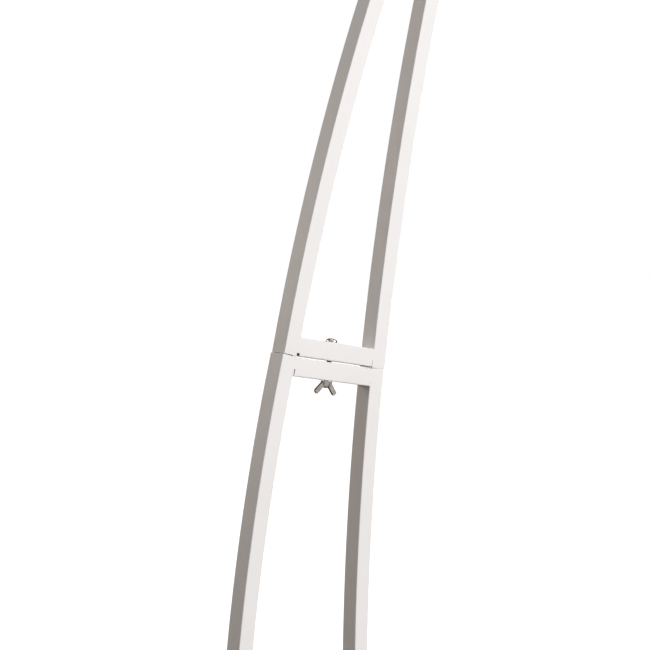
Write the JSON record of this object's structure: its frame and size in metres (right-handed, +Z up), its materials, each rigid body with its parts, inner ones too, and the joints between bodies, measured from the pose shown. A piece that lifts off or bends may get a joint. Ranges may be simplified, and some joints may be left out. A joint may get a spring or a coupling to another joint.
{
  "type": "arc floor lamp",
  "caption": "Arc floor lamp with a tapering mast of bent square tubes joined by a bolt and wing nut, a bent arm and a tilting dome shade.",
  "frame": {"origin": "on the floor, at the centre of the base's underside, plumb below the bolt that joins the two halves of the mast", "axes": "+Z up, +X the way the arm reaches, and the mast and arm lie in the XZ plane"},
  "size_m": [0.9801, 0.3, 1.7524],
  "materials": {
    "powder_coat": "satin white powder coat on steel",
    "coated_aluminium": "satin white powder coat on aluminium",
    "zinc": "zinc plated",
    "black_rubber": "matt",
    "black_plastic": "fine grain",
    "white_plastic": "satin",
    "opal_glass": "opal",
    "nickel": "nickel plated"
  },
  "bodies": {
    "stand": {"floor_pad": "black_rubber", "base_plate": "powder_coat", "foot_flange": "powder_coat", "flange_washer_1": "zinc", "flange_washer_2": "zinc", "flange_washer_3": "zinc", "flange_washer_4": "zinc", "flange_bolt_1": "zinc", "flange_bolt_2": "zinc", "flange_bolt_3": "zinc", "flange_bolt_4": "zinc", "lower_outer_rail": "powder_coat", "lower_inner_rail": "powder_coat", "lower_crossbar": "powder_coat", "cable_gland": "black_rubber", "inner_lead": "black_plastic", "upper_outer_rail": "powder_coat", "upper_inner_rail": "powder_coat", "upper_crossbar": "powder_coat", "joint_bolt": "zinc", "nose_block": "powder_coat", "nose_screw_outer": "zinc", "nose_screw_inner": "zinc", "nose_screw_arm": "zinc", "arm": "powder_coat", "arm_end_screw": "zinc", "arm_end_fitting": "powder_coat"},
    "wing_nut": {"joint_wing_nut": "zinc"},
    "swivel": {"swivel_stem": "powder_coat", "stem_cap": "zinc", "tilt_bolt": "zinc"},
    "knob": {"tilt_knob": "black_plastic"},
    "head": {"socket_cup": "coated_aluminium", "lamp_holder": "white_plastic", "shade": "coated_aluminium", "shade_ring": "white_plastic", "bulb_cap": "nickel", "bulb_globe": "opal_glass"},
    "switch": {"switch_knob": "black_plastic"}
  },
  "joints": [
    {"name": "wing_nut_turn", "type": "hinge", "parent": "stand", "child": "wing_nut", "pos_m": [0, 0, 0.9], "axis": [0.1771, 0, 0.9842], "continuous": true},
    {"name": "head_swivel", "type": "hinge", "parent": "stand", "child": "swivel", "pos_m": [0.62507, 0, 1.72043], "axis": [0, 0, 1], "range_deg": [-165, 165]},
    {"name": "head_tilt", "type": "hinge", "parent": "swivel", "child": "head", "pos_m": [0.62507, 0, 1.68813], "axis": [0, 1, 0], "range_deg": [-50, 50]},
    {"name": "tilt_knob_turn", "type": "hinge", "parent": "swivel", "child": "knob", "pos_m": [0.62507, 0.0113, 1.68813], "axis": [0, 1, 0], "continuous": true},
    {"name": "switch_turn", "type": "hinge", "parent": "head", "child": "switch", "pos_m": [0.62507, -0.0233, 1.63213], "axis": [0, -1, 0], "range_deg": [0, 90]}
  ]
}
